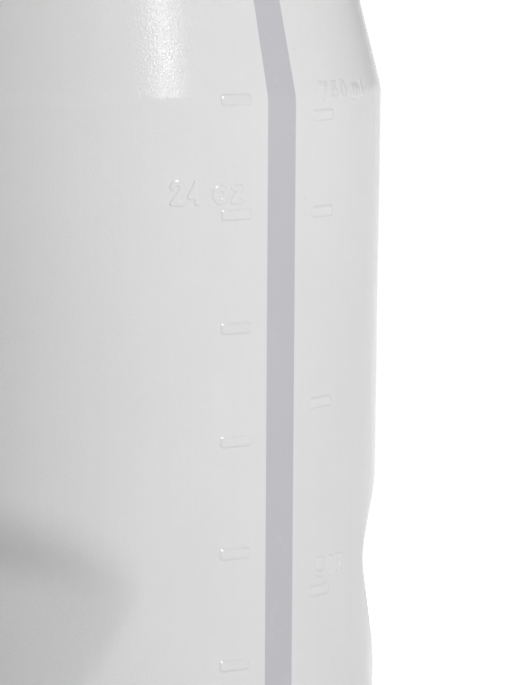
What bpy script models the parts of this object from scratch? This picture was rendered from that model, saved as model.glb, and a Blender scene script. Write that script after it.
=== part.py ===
"""Calf feeding bottle of about 0.9 litre: blow-moulded body, teat, valves and screw collar.

Frame: origin at the centre of the base, +Z up, sight strip towards +X, grip dents towards +Y
and -Y. Lengths are in metres; constants are written in millimetres times MM.
"""
import math

import bmesh
import bpy

MM = 0.001

# Driving dimensions of the bottle body
CREASE_Z = 196.0 * MM            # height of the edge between wall and shoulder
CREASE_RADIUS = 37.4 * MM
WALL_DRAFT = 0.0095              # radius lost for each unit of height below the crease
SHOULDER_SLOPE = 0.249           # radius lost for each unit of height above the crease
SHOULDER_HEIGHT = 24.0 * MM
WALL = 1.0 * MM
GAP = 0.3 * MM                   # clearance between touching pieces

# Base: foot ring with a pushed-up middle
HEEL_RADIUS = 5.0 * MM
FOOT_INNER = 27.0 * MM
PUSH_UP = 3.0 * MM
PUSH_UP_RADIUS = 22.0 * MM

# Grip dents, one on each side
DENT_VALLEY = CREASE_Z - 57.5 * MM   # height of the fold in the dent's middle
DENT_DROOP = 4.2 * MM                # how far the fold has dropped at the dent's ends
DENT_DEPTH = 5.6 * MM
DENT_HALF_ANGLE = 60.3               # degrees to either side of the dent's middle
DENT_RISE = 11.0 * MM               # from the fold to the upper edge
DENT_FALL = 33.0 * MM                # from the fold to the lower edge
DENT_LOWER_CORNER = 1.6              # power of the lower outline, 2 is an ellipse
DENT_END = (4.45, 1.62)              # powers of the depth along the dent
DENT_UPPER_POWER = 2.0               # the upper face steepens towards the fold
DENT_LOWER_POWER = 1.1

# Sight strip
STRIP_HALF_ANGLE = 3.47          # degrees
STRIP_BOTTOM = 8.0 * MM
STRIP_TOP = CREASE_Z + 21.0 * MM

# Neck and thread
NECK_TOP = CREASE_Z + 48.0 * MM
NECK_ROOT = CREASE_Z + 29.0 * MM
NECK_RADIUS = 24.5 * MM
NECK_BORE = 22.6 * MM
PITCH = 6.0 * MM
THREAD_HEIGHT = 1.5 * MM
THREAD_ROOT_WIDTH = 2.6 * MM
THREAD_CREST_WIDTH = 1.4 * MM
THREAD_BITE = 0.5 * MM           # how far a ridge reaches into the wall that carries it
NECK_THREAD_Z = NECK_TOP - 13.5 * MM
NECK_THREAD_TURNS = 1.5
THREAD_OFFSET = 2.3 * MM         # collar ridge below the neck ridge when tight
COLLAR_THREAD_START = 120.0      # degrees
COLLAR_THREAD_TURNS = 1.25

# Stack clamped on the neck, heights above the neck's rim
GASKET_Z = NECK_TOP + GAP
GASKET_THICKNESS = 1.5 * MM
GASKET_INNER = 21.8 * MM
STACK_RADIUS = 25.6 * MM
DISC_Z = GASKET_Z + GASKET_THICKNESS + GAP
DISC_THICKNESS = 2.0 * MM
DISC_TOP = DISC_Z + DISC_THICKNESS
FLANGE_Z = DISC_TOP + GAP
FLANGE_THICKNESS = 3.0 * MM
COLLAR_CEILING = FLANGE_Z + FLANGE_THICKNESS + GAP

# Valve body
SPIGOT_RADIUS = 7.0 * MM
SPIGOT_BORE = 4.8 * MM
SPIGOT_BOTTOM = NECK_TOP - 13.0 * MM
SPIGOT_FLOOR = 1.5 * MM
SPIGOT_WINDOW_Z = NECK_TOP - 7.0 * MM
SPIGOT_WINDOW_RADIUS = 2.6 * MM
O_RING_Z = NECK_TOP - 1.0 * MM
O_RING_SECTION = 0.5 * MM
GROOVE_RADIUS = 5.7 * MM
SEAT_BORE = 3.2 * MM
SEAT_MOUTH = 4.6 * MM
SEAT_LAND = 0.8 * MM
CAGE_BOSS_INNER = 6.2 * MM
CAGE_BOSS_OUTER = 7.6 * MM
CAGE_BOSS_HEIGHT = 2.5 * MM
BALL_RADIUS = 4.5 * MM
BALL_LIFT = 3.0 * MM

# Air inlet valve, on the side away from the sight strip
VENT_X = -16.5 * MM
VENT_BOSS_RADIUS = 3.6 * MM
VENT_BORE = 2.2 * MM
VENT_BOSS_BOTTOM = NECK_TOP - 3.5 * MM
VENT_HOLE = 1.1 * MM
VENT_SEAT_Z = NECK_TOP + 1.2 * MM
VENT_GROOVE_DEPTH = 0.8 * MM
VENT_GROOVE_WIDTH = 1.6 * MM
VENT_BALL_RADIUS = 1.75 * MM
RETAINER_RADIUS = 4.8 * MM
RETAINER_SKIRT = 3.2 * MM
RETAINER_FLOOR = 1.0 * MM

# Ball cage
CAGE_WALL = 1.3 * MM
CAGE_NECK_BORE = 5.2 * MM
CAGE_WINDOW_WIDTH = 3.4 * MM

# Flow sleeve
SLEEVE_BORE = SPIGOT_RADIUS + 0.35 * MM
SLEEVE_RADIUS = SLEEVE_BORE + 1.5 * MM
SLEEVE_TOP = NECK_TOP + 0.9 * MM
SLEEVE_FLOOR = 1.5 * MM
SLEEVE_STEP = 60.0               # degrees between the three flow holes
FLOW_HOLE_RADII = (1.1 * MM, 1.7 * MM, 2.4 * MM)
WING_REACH = 13.0 * MM
WING_THICKNESS = 2.0 * MM
WING_HEIGHT = 6.0 * MM

# Teat
TEAT_WALL = 3.2 * MM
TEAT_THROAT = 18.4 * MM          # outer radius where it leaves the collar
TEAT_LENGTH = 81.0 * MM          # from the top of the flange to the tip
CROSS_CUT_LENGTH = 9.0 * MM
CROSS_CUT_WIDTH = 0.5 * MM

# Screw collar
COLLAR_BOTTOM = NECK_TOP - 17.0 * MM
COLLAR_BORE = 26.6 * MM
COLLAR_RADIUS = 29.6 * MM
COLLAR_ROOF = 2.3 * MM
COLLAR_HOLE = 19.0 * MM
RIB_HEIGHT = 0.8 * MM
RIB_COUNT = 24

BODY_SEGMENTS = 48
SMALL_SEGMENTS = 32


def clear_scene():
    for item in list(bpy.data.objects):
        bpy.data.objects.remove(item, do_unlink=True)


def material(name, colour, roughness, metallic=0.0, transmission=0.0):
    found = bpy.data.materials.new(name)
    found.use_nodes = True
    shader = found.node_tree.nodes["Principled BSDF"]
    shader.inputs["Base Color"].default_value = (*colour, 1.0)
    shader.inputs["Roughness"].default_value = roughness
    shader.inputs["Metallic"].default_value = metallic
    shader.inputs["Transmission Weight"].default_value = transmission
    return found


def make_object(name, shape, finish=None, origin=(0.0, 0.0, 0.0)):
    """Turn a bmesh in world coordinates into an object whose origin is at the given point."""
    bmesh.ops.recalc_face_normals(shape, faces=shape.faces)
    bmesh.ops.translate(shape, verts=shape.verts, vec=[-value for value in origin])
    mesh = bpy.data.meshes.new(name)
    shape.to_mesh(mesh)
    shape.free()
    mesh.shade_smooth()
    mesh.set_sharp_from_angle(angle=math.radians(35.0))
    item = bpy.data.objects.new(name, mesh)
    item.location = origin
    if finish:
        mesh.materials.append(finish)
    bpy.context.scene.collection.objects.link(item)
    return item


def turned(profile, segments, closed, shape=None, centre=(0.0, 0.0)):
    """Turn (radius, z) points about a vertical axis. An open profile starts and ends on it.

    shape(angle, radius, z) may change the radius of a point.
    """
    mesh = bmesh.new()
    rings = []
    for radius, z in profile:
        if radius == 0.0:
            rings.append([mesh.verts.new((centre[0], centre[1], z))])
            continue
        ring = []
        for index in range(segments):
            angle = 2.0 * math.pi * index / segments
            r = shape(angle, radius, z) if shape else radius
            x = centre[0] + r * math.cos(angle)
            y = centre[1] + r * math.sin(angle)
            ring.append(mesh.verts.new((x, y, z)))
        rings.append(ring)
    followers = rings[1:] + ([rings[0]] if closed else [])
    for lower, upper in zip(rings, followers):
        join_rings(mesh, lower, upper)
    return mesh


def join_rings(mesh, lower, upper):
    count = max(len(lower), len(upper))
    for index in range(count):
        after = (index + 1) % count
        if len(lower) == 1:
            mesh.faces.new((lower[0], upper[index], upper[after]))
        elif len(upper) == 1:
            mesh.faces.new((lower[index], lower[after], upper[0]))
        else:
            mesh.faces.new((lower[index], lower[after], upper[after], upper[index]))


def arc(centre, radius, start, end, steps):
    """Points of an arc, angles in degrees from the +r direction towards +z."""
    points = []
    for index in range(steps + 1):
        angle = math.radians(start + (end - start) * index / steps)
        points.append((centre[0] + radius * math.cos(angle), centre[1] + radius * math.sin(angle)))
    return points


def cylinder(radius, low, high, segments=SMALL_SEGMENTS, centre=(0.0, 0.0)):
    profile = [(0.0, low), (radius, low), (radius, high), (0.0, high)]
    return turned(profile, segments, closed=False, centre=centre)


def box(low, high):
    mesh = bmesh.new()
    bmesh.ops.create_cube(mesh, size=1.0)
    for vertex in mesh.verts:
        for axis in range(3):
            middle = (low[axis] + high[axis]) / 2.0
            vertex.co[axis] = middle + vertex.co[axis] * (high[axis] - low[axis])
    return mesh


def helical_ridge(wall_radius, outward, z, turns, start_degrees):
    """A trapezoid thread ridge on a wall, its ends run out into the wall."""
    side = 1.0 if outward else -1.0
    steps = int(round(turns * 36))
    run_out = 3
    sections = []
    mesh = bmesh.new()
    for index in range(steps + 1):
        angle = math.radians(start_degrees) + 2.0 * math.pi * turns * index / steps
        height = z + PITCH * turns * index / steps
        grown = min(1.0, index / run_out, (steps - index) / run_out)
        crest = wall_radius + side * THREAD_HEIGHT * (grown - 0.15 * (1.0 - grown))
        root = wall_radius - side * THREAD_BITE
        corners = (
            (root, -THREAD_ROOT_WIDTH / 2.0),
            (crest, -THREAD_CREST_WIDTH / 2.0),
            (crest, THREAD_CREST_WIDTH / 2.0),
            (root, THREAD_ROOT_WIDTH / 2.0),
        )
        sections.append([
            mesh.verts.new((r * math.cos(angle), r * math.sin(angle), height + dz))
            for r, dz in corners
        ])
    for lower, upper in zip(sections, sections[1:]):
        join_rings(mesh, lower, upper)
    mesh.faces.new(sections[0])
    mesh.faces.new(sections[-1])
    return mesh


def use_boolean(item, operation, name, shape):
    """Add or cut a hidden guide with a Boolean modifier."""
    guide = make_object(name, shape)
    guide.hide_render = True
    guide.display_type = "WIRE"
    modifier = item.modifiers.new(name, "BOOLEAN")
    modifier.operation = operation
    modifier.solver = "EXACT"
    modifier.object = guide


def cut(item, name, shape):
    use_boolean(item, "DIFFERENCE", name, shape)


def add(item, name, shape):
    use_boolean(item, "UNION", name, shape)


def wall_radius(z):
    """Outer radius of the body without its dents, from the heel to the shoulder's top."""
    if z < CREASE_Z:
        return CREASE_RADIUS - WALL_DRAFT * (CREASE_Z - z)
    return CREASE_RADIUS - SHOULDER_SLOPE * (z - CREASE_Z)


def dent_depth(angle, z):
    """Depth of the grip dents, whose middles face +Y and -Y.

    A steep face comes down from the upper edge to a fold, and a long gentle face leads from
    the fold to the lower edge.
    """
    turn = math.degrees(math.atan2(math.sin(angle), math.cos(angle)))
    share = abs(abs(turn) - 90.0) / DENT_HALF_ANGLE
    if share >= 1.0:
        return 0.0
    fold = DENT_VALLEY - DENT_DROOP * share ** 2
    top = max(DENT_VALLEY + DENT_RISE * math.sqrt(1.0 - share ** 2), fold + 0.3 * MM)
    corner = DENT_LOWER_CORNER
    bottom = DENT_VALLEY - DENT_FALL * (1.0 - share ** corner) ** (1.0 / corner)
    bottom = min(bottom, fold - 0.3 * MM)
    if z >= top or z <= bottom:
        return 0.0
    upper = ((top - z) / (top - fold)) ** DENT_UPPER_POWER
    lower = ((z - bottom) / (fold - bottom)) ** DENT_LOWER_POWER
    meeting = upper * lower / math.hypot(upper, lower)
    ends = (1.0 - share ** DENT_END[0]) ** DENT_END[1]
    return DENT_DEPTH * ends * meeting


def dented(angle, radius, z):
    return radius - dent_depth(angle, z)


def wall_heights():
    """Heights of the wall's rings: close together across the dents, far apart elsewhere."""
    low = DENT_VALLEY - DENT_FALL
    high = DENT_VALLEY + DENT_RISE
    rows = 7
    across = [low + (DENT_VALLEY - low) * index / rows for index in range(rows)]
    across += [DENT_VALLEY + (high - DENT_VALLEY) * index / rows for index in range(rows + 1)]
    return [HEEL_RADIUS, *across, CREASE_Z]


def body_outer_profile():
    """Outside from the middle of the base up to the neck's rim."""
    heel_centre = (wall_radius(HEEL_RADIUS) - HEEL_RADIUS, HEEL_RADIUS)
    push_up = [(0.0, PUSH_UP), (PUSH_UP_RADIUS, PUSH_UP * 0.8), (FOOT_INNER, 0.0)]
    heel = arc(heel_centre, HEEL_RADIUS, -90.0, 0.0, 4)[:-1]
    wall = [(wall_radius(z), z) for z in wall_heights()]
    shoulder_top = CREASE_Z + SHOULDER_HEIGHT
    top_radius = wall_radius(shoulder_top)
    round_over = [
        (top_radius, shoulder_top),
        (top_radius - 1.6 * MM, shoulder_top + 2.6 * MM),
        (top_radius - 3.9 * MM, shoulder_top + 4.4 * MM),
        (NECK_RADIUS, NECK_ROOT),
    ]
    return push_up + heel + wall + round_over + [(NECK_RADIUS, NECK_TOP)]


def body_inner_profile():
    """Inside from the neck's rim down to the middle of the base."""
    shoulder_top = CREASE_Z + SHOULDER_HEIGHT
    top_radius = wall_radius(shoulder_top) - WALL
    neck = [
        (NECK_BORE, NECK_TOP),
        (NECK_BORE, NECK_ROOT - 1.2 * MM),
        (top_radius - 3.6 * MM, shoulder_top + 3.2 * MM),
        (top_radius, shoulder_top - 0.4 * MM),
    ]
    wall = [(wall_radius(z) - WALL, z) for z in reversed(wall_heights())]
    floor_z = PUSH_UP + WALL * 1.5
    heel_centre = (wall_radius(HEEL_RADIUS) - HEEL_RADIUS, HEEL_RADIUS)
    heel = arc(heel_centre, HEEL_RADIUS - WALL, 0.0, -90.0, 3)[1:]
    floor = [
        (FOOT_INNER + 1.0 * MM, WALL),
        (PUSH_UP_RADIUS, floor_z - PUSH_UP * 0.2),
        (0.0, floor_z),
    ]
    return neck + wall + heel + floor


def strip_panel(half_angle, bottom, top, inward, outward):
    """A slice of the wall: between two heights, thickened inwards and outwards."""
    mesh = bmesh.new()
    sections = []
    for z in (bottom, CREASE_Z, top):
        section = []
        for radius, turns in ((wall_radius(z) + outward, (-1.0, 0.0, 1.0)),
                              (wall_radius(z) - inward, (1.0, 0.0, -1.0))):
            for turn in turns:
                angle = math.radians(half_angle) * turn
                point = (radius * math.cos(angle), radius * math.sin(angle), z)
                section.append(mesh.verts.new(point))
        sections.append(section)
    for lower, upper in zip(sections, sections[1:]):
        join_rings(mesh, lower, upper)
    mesh.faces.new(sections[0])
    mesh.faces.new(sections[-1])
    return mesh


def make_bottle_body(finish):
    profile = body_outer_profile() + body_inner_profile()
    body = make_object("bottle_body", turned(profile, BODY_SEGMENTS, False, dented), finish)
    ridge = helical_ridge(NECK_RADIUS, True, NECK_THREAD_Z, NECK_THREAD_TURNS, 0.0)
    add(body, "neck_thread_guide", ridge)
    side_gap = math.degrees(GAP / CREASE_RADIUS)
    slot = strip_panel(STRIP_HALF_ANGLE + side_gap, STRIP_BOTTOM - GAP, STRIP_TOP + GAP,
                       3.0 * WALL, 2.0 * WALL)
    cut(body, "strip_slot_cutter", slot)
    return body


def make_sight_strip(finish):
    panel = strip_panel(STRIP_HALF_ANGLE, STRIP_BOTTOM, STRIP_TOP, WALL, 0.0)
    return make_object("sight_strip", panel, finish)


def make_neck_gasket(finish):
    top = GASKET_Z + GASKET_THICKNESS
    profile = [(GASKET_INNER, GASKET_Z), (STACK_RADIUS, GASKET_Z), (STACK_RADIUS, top),
               (GASKET_INNER, top)]
    return make_object("neck_gasket", turned(profile, BODY_SEGMENTS, True), finish)


def make_valve_body(finish):
    """Clamped disc with the ball seat above it and the tap spigot below it."""
    groove_half = O_RING_SECTION + GAP
    profile = [
        (STACK_RADIUS, DISC_Z),
        (STACK_RADIUS, DISC_TOP),
        (CAGE_BOSS_OUTER, DISC_TOP),
        (CAGE_BOSS_OUTER, DISC_TOP + CAGE_BOSS_HEIGHT),
        (CAGE_BOSS_INNER, DISC_TOP + CAGE_BOSS_HEIGHT),
        (CAGE_BOSS_INNER, DISC_TOP),
        (SEAT_MOUTH, DISC_TOP),
        (SEAT_BORE, DISC_Z + SEAT_LAND),
        (SEAT_BORE, DISC_Z),
        (SPIGOT_BORE, DISC_Z),
        (SPIGOT_BORE, SPIGOT_BOTTOM + SPIGOT_FLOOR),
        (0.0, SPIGOT_BOTTOM + SPIGOT_FLOOR),
    ]
    outside = [
        (0.0, SPIGOT_BOTTOM),
        (SPIGOT_RADIUS, SPIGOT_BOTTOM),
        (SPIGOT_RADIUS, O_RING_Z - groove_half),
        (GROOVE_RADIUS, O_RING_Z - groove_half),
        (GROOVE_RADIUS, O_RING_Z + groove_half),
        (SPIGOT_RADIUS, O_RING_Z + groove_half),
        (SPIGOT_RADIUS, DISC_Z),
    ]
    shape = turned(outside + profile, BODY_SEGMENTS, closed=False)
    body = make_object("valve_body", shape, finish)
    window = cylinder(SPIGOT_WINDOW_RADIUS, 0.0, 2.0 * SPIGOT_RADIUS, 16)
    lay_along_x(window, SPIGOT_WINDOW_Z, 0.0)
    cut(body, "spigot_window_cutter", window)
    centre = (VENT_X, 0.0)
    boss = cylinder(VENT_BOSS_RADIUS, VENT_BOSS_BOTTOM, DISC_Z + DISC_THICKNESS / 2.0, 24, centre)
    add(body, "vent_boss_guide", boss)
    seat = [(0.0, VENT_BOSS_BOTTOM - 1.0 * MM), (VENT_BORE, VENT_BOSS_BOTTOM - 1.0 * MM),
            (VENT_BORE, VENT_SEAT_Z - 1.0 * MM), (VENT_HOLE, VENT_SEAT_Z),
            (VENT_HOLE, DISC_TOP + 1.0 * MM), (0.0, DISC_TOP + 1.0 * MM)]
    cut(body, "vent_bore_cutter", turned(seat, 20, False, centre=centre))
    groove = box((-STACK_RADIUS - 1.0 * MM, -VENT_GROOVE_WIDTH / 2.0, DISC_TOP - VENT_GROOVE_DEPTH),
                 (VENT_X, VENT_GROOVE_WIDTH / 2.0, DISC_TOP + 1.0 * MM))
    cut(body, "vent_groove_cutter", groove)
    return body


def lay_along_x(shape, z, degrees):
    """Turn a vertical tool so that it points outwards at the given angle and height."""
    angle = math.radians(degrees)
    for vertex in shape.verts:
        across_x, across_y, along = vertex.co
        vertex.co = (along * math.cos(angle) - across_y * math.sin(angle),
                     along * math.sin(angle) + across_y * math.cos(angle),
                     z + across_x)


def make_flow_sleeve(finish):
    """Cup that turns on the spigot; its three holes meet the spigot's window in turn."""
    inner_floor = SPIGOT_BOTTOM - GAP - 0.2 * MM
    outer_floor = inner_floor - SLEEVE_FLOOR
    profile = [(0.0, outer_floor), (SLEEVE_RADIUS, outer_floor), (SLEEVE_RADIUS, SLEEVE_TOP),
               (SLEEVE_BORE, SLEEVE_TOP), (SLEEVE_BORE, inner_floor), (0.0, inner_floor)]
    sleeve = make_object("flow_sleeve", turned(profile, SMALL_SEGMENTS, False), finish)
    for index, radius in enumerate(FLOW_HOLE_RADII):
        hole = cylinder(radius, SLEEVE_BORE - 2.0 * MM, SLEEVE_RADIUS + 2.0 * MM, 12)
        lay_along_x(hole, SPIGOT_WINDOW_Z, SLEEVE_STEP * (index - 1))
        cut(sleeve, "flow_hole_cutter_%d" % (index + 1), hole)
    half = WING_THICKNESS / 2.0
    for index, side in enumerate((1.0, -1.0)):
        near = side * (SLEEVE_RADIUS - 0.7 * MM)
        far = side * WING_REACH
        wing = box((-half, min(near, far), outer_floor), (half, max(near, far),
                                                          outer_floor + WING_HEIGHT))
        add(sleeve, "wing_guide_%d" % (index + 1), wing)
    return sleeve


def make_o_ring(finish):
    middle = GROOVE_RADIUS + 0.25 * MM + O_RING_SECTION
    section = arc((middle, O_RING_Z), O_RING_SECTION, 0.0, 360.0, 8)[:-1]
    return make_object("sleeve_o_ring", turned(section, 24, True), finish)


def ball(name, radius, centre, finish):
    mesh = bmesh.new()
    bmesh.ops.create_uvsphere(mesh, u_segments=20, v_segments=12, radius=radius)
    bmesh.ops.translate(mesh, verts=mesh.verts, vec=centre)
    return make_object(name, mesh, finish, origin=centre)


def valve_ball_height():
    """Height of the ball's centre, one clearance above the edge of its seat's bore."""
    reach = BALL_RADIUS + GAP
    return DISC_Z + SEAT_LAND + math.sqrt(reach ** 2 - SEAT_BORE ** 2)


def make_valve_ball(finish):
    return ball("valve_ball", BALL_RADIUS, (0.0, 0.0, valve_ball_height()), finish)


def make_ball_cage(finish):
    """Skirt round the boss, narrower neck round the ball, four side windows and a lid."""
    boss_top = DISC_TOP + CAGE_BOSS_HEIGHT
    lid = valve_ball_height() + BALL_RADIUS + BALL_LIFT + GAP
    skirt_bore = CAGE_BOSS_OUTER + GAP
    skirt_radius = skirt_bore + CAGE_WALL
    neck_radius = CAGE_NECK_BORE + CAGE_WALL
    profile = [
        (skirt_radius, DISC_TOP + GAP),
        (skirt_radius, boss_top + GAP + 0.6 * MM),
        (neck_radius, boss_top + GAP + 2.0 * MM),
        (neck_radius, lid + CAGE_WALL),
        (0.0, lid + CAGE_WALL),
    ]
    inside = [
        (0.0, lid),
        (CAGE_NECK_BORE, lid),
        (CAGE_NECK_BORE, boss_top + GAP),
        (skirt_bore, boss_top + GAP),
        (skirt_bore, DISC_TOP + GAP),
    ]
    shape = turned(inside + profile, SMALL_SEGMENTS, closed=False)
    cage = make_object("ball_cage", shape, finish)
    low = boss_top + GAP + 2.4 * MM
    half = CAGE_WINDOW_WIDTH / 2.0
    reach = neck_radius + 2.0 * MM
    cut(cage, "cage_window_cutter_1", box((-reach, -half, low), (reach, half, lid - 0.6 * MM)))
    cut(cage, "cage_window_cutter_2", box((-half, -reach, low), (half, reach, lid - 0.6 * MM)))
    return cage


def vent_ball_centre():
    floor = VENT_BOSS_BOTTOM - GAP
    return (VENT_X, 0.0, floor + GAP + VENT_BALL_RADIUS)


def make_vent_ball(finish):
    return ball("vent_ball", VENT_BALL_RADIUS, vent_ball_centre(), finish)


def make_vent_retainer(finish):
    """Cap pressed on the vent boss, with a small hole under the ball."""
    floor_top = VENT_BOSS_BOTTOM - GAP
    floor_bottom = floor_top - RETAINER_FLOOR
    skirt_top = floor_top + RETAINER_SKIRT
    bore = VENT_BOSS_RADIUS + GAP
    hole = VENT_HOLE
    profile = [(hole, floor_bottom), (RETAINER_RADIUS, floor_bottom), (RETAINER_RADIUS, skirt_top),
               (bore, skirt_top), (bore, floor_top), (hole, floor_top)]
    shape = turned(profile, 24, True, centre=(VENT_X, 0.0))
    return make_object("vent_retainer", shape, finish)


def teat_radius(height):
    """Outer radius of the teat at a height above the flange's top: bell foot, shaft, bulb, tip."""
    foot = (TEAT_THROAT - 12.6 * MM) / (1.0 + (height / (17.0 * MM)) ** 3)
    bulb = 1.2 * MM * math.exp(-((height - 63.0 * MM) / (12.0 * MM)) ** 2)
    body = 12.6 * MM + foot + bulb
    tip = TEAT_LENGTH - 12.0 * MM
    if height <= tip:
        return body
    share = min(1.0, (height - tip) / (12.0 * MM))
    return body * math.sqrt(max(0.0, 1.0 - share ** 2.4))


def make_teat(finish):
    """Flange under the collar's roof, hollow shank and a tip with a cross cut."""
    base = FLANGE_Z + FLANGE_THICKNESS
    heights = [3.0, 7.0, 12.0, 17.0, 23.0, 31.0, 42.0, 52.0, 60.0, 66.0, 69.0, 73.0, 76.5, 79.0, 80.4]
    outer = [(teat_radius(h * MM), base + h * MM) for h in heights]
    inner = []
    for height in heights[:10]:
        inner.append((teat_radius(height * MM) - TEAT_WALL, base + height * MM))
    dome = arc((0.0, base + 66.0 * MM), teat_radius(66.0 * MM) - TEAT_WALL, 20.0, 70.0, 3)
    profile = [(0.0, dome[-1][1] + 0.6 * MM), *reversed(dome), *reversed(inner),
               (TEAT_THROAT - TEAT_WALL, base), (TEAT_THROAT - TEAT_WALL, FLANGE_Z),
               (STACK_RADIUS - 0.4 * MM, FLANGE_Z), (STACK_RADIUS - 0.4 * MM, base),
               (TEAT_THROAT, base), *outer, (0.0, base + TEAT_LENGTH)]
    teat = make_object("teat", turned(profile, 36, closed=False), finish)
    half = CROSS_CUT_LENGTH / 2.0
    thin = CROSS_CUT_WIDTH / 2.0
    low = base + 70.0 * MM
    high = base + TEAT_LENGTH + 2.0 * MM
    cut(teat, "cross_cut_1", box((-half, -thin, low), (half, thin, high)))
    cut(teat, "cross_cut_2", box((-thin, -half, low), (thin, half, high)))
    return teat


def ribbed(angle, radius, z):
    """Grip ribs on the outer wall of the collar."""
    if radius < COLLAR_RADIUS:
        return radius
    return radius + RIB_HEIGHT * max(0.0, math.cos(RIB_COUNT * angle))


def make_screw_collar(finish):
    roof_top = COLLAR_CEILING + COLLAR_ROOF
    edge = COLLAR_RADIUS - 1.2 * MM
    profile = [
        (COLLAR_BORE, COLLAR_BOTTOM),
        (COLLAR_RADIUS - 0.6 * MM, COLLAR_BOTTOM),
        (COLLAR_RADIUS, COLLAR_BOTTOM + 1.0 * MM),
        (COLLAR_RADIUS, roof_top - 2.0 * MM),
        (edge, roof_top),
        (COLLAR_HOLE, roof_top),
        (COLLAR_HOLE, COLLAR_CEILING),
        (COLLAR_BORE, COLLAR_CEILING),
    ]
    shape = turned(profile, 3 * RIB_COUNT, True, ribbed)
    collar = make_object("screw_collar", shape, finish)
    start = NECK_THREAD_Z - THREAD_OFFSET + PITCH * COLLAR_THREAD_START / 360.0
    ridge = helical_ridge(COLLAR_BORE, False, start, COLLAR_THREAD_TURNS, COLLAR_THREAD_START)
    add(collar, "collar_thread_guide", ridge)
    return collar


def main():
    clear_scene()
    white = material("white_polyethylene", (0.80, 0.80, 0.80), 0.42)
    grey = material("grey_strip_polyethylene", (0.50, 0.50, 0.53), 0.40, transmission=0.1)
    seal = material("black_seal_rubber", (0.03, 0.03, 0.03), 0.6)
    rubber = material("red_brown_teat_rubber", (0.36, 0.09, 0.04), 0.5)
    natural = material("natural_polypropylene", (0.72, 0.73, 0.72), 0.35)
    collar_grey = material("grey_polypropylene", (0.30, 0.31, 0.33), 0.38)
    blue = material("blue_polypropylene", (0.05, 0.17, 0.42), 0.35)
    steel = material("stainless_steel", (0.62, 0.62, 0.63), 0.2, metallic=1.0)
    make_bottle_body(white)
    make_sight_strip(grey)
    make_neck_gasket(seal)
    make_valve_body(natural)
    make_flow_sleeve(blue)
    make_o_ring(seal)
    make_valve_ball(white)
    make_ball_cage(natural)
    make_vent_ball(steel)
    make_vent_retainer(natural)
    make_teat(rubber)
    make_screw_collar(collar_grey)


main()
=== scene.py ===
"""Looks of the calf feeding bottle: fine meshes, procedural materials, light and camera.

Lengths are metres in the frame of the CAD model: base centre at the origin, +Z up, the sight
strip towards +X and the grip dents towards +Y and -Y.
"""

import math

import bmesh
import bpy
import numpy as np
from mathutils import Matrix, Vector


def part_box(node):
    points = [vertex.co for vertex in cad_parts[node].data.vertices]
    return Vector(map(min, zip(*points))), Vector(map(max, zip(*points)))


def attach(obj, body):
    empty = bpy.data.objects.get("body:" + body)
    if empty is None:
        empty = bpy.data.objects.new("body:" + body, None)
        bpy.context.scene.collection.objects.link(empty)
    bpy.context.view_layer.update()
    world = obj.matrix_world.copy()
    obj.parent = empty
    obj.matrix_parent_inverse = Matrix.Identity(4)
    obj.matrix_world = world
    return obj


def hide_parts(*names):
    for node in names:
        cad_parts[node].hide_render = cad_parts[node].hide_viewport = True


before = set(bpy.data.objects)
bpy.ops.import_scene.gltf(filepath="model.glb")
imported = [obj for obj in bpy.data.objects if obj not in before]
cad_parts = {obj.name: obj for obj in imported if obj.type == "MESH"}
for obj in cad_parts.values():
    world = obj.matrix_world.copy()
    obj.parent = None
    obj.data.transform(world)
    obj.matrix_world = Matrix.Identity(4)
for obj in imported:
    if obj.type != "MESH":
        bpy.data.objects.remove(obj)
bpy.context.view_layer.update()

MM = 0.001

# Heights and radii read from the frame
STRIP_LOW, STRIP_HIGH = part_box("sight_strip")
BODY_LOW, BODY_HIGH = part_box("bottle_body")
COLLAR_LOW, COLLAR_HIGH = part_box("screw_collar")
TEAT_LOW, TEAT_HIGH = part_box("teat")
CREASE_Z = STRIP_HIGH.z - 21.0 * MM
CREASE_RADIUS = STRIP_HIGH.x
NECK_TOP = BODY_HIGH.z

# Bottle wall
WALL_DRAFT = 0.0095
SHOULDER_SLOPE = 0.249
CREASE_BLEND = 0.2 * MM
WALL = 1.0 * MM
HEEL_RADIUS = 5.0 * MM
FOOT_INNER = 27.0 * MM
PUSH_UP = 3.0 * MM
PUSH_UP_RADIUS = 22.0 * MM
NECK_RADIUS = 24.5 * MM
NECK_BORE = 22.6 * MM
SHOULDER_TOP = CREASE_Z + 22.5 * MM
NECK_ROOT = CREASE_Z + 29.3 * MM
SEAM_HEIGHT = 0.07 * MM

# Grip dents
DENT_VALLEY = CREASE_Z - 57.5 * MM
DENT_DROOP = 4.2 * MM
DENT_DEPTH = 5.6 * MM
DENT_HALF_ANGLE = 60.3
DENT_RISE = 11.0 * MM
DENT_FALL = 33.0 * MM
DENT_LOWER_CORNER = 1.6
DENT_END = (4.45, 1.62)
DENT_UPPER_POWER = 2.0
DENT_LOWER_POWER = 1.1

# Sight strip and the scales on either side of it, angles in degrees from the strip's middle
STRIP_HALF_ANGLE = 3.47
OUNCE_ANGLE = -10.55
MILLILITRE_ANGLE = 11.4
MARK_WIDTH = 3.95 * MM
MARK_HEIGHT = 1.0 * MM
MARK_RAISE = 0.12 * MM
MARK_BLEND = 0.36 * MM
LETTER_RAISE = 0.085 * MM
LETTER_BLEND = 0.22 * MM
SUNK = 0.03 * MM
OUNCE_LETTER = (2.5 * MM, 2.5 * MM)          # scale across and letter height
MILLILITRE_LETTER = (2.4 * MM, 1.85 * MM)
STROKE_HALF_WIDTH = 0.26 * MM
LETTER_GAP = 0.42
OUNCE_STEP = 14.16 * MM          # two ounces
MILLILITRE_STEP = 12.10 * MM     # fifty millilitres
OUNCE_TOP = 26
MILLILITRE_TOP = 750
LABELLED_OUNCES = (24, 12)
LABELLED_MILLILITRES = (750, 500, 250)
OUNCE_TOP_Z = CREASE_Z - 0.43 * MM
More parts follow.
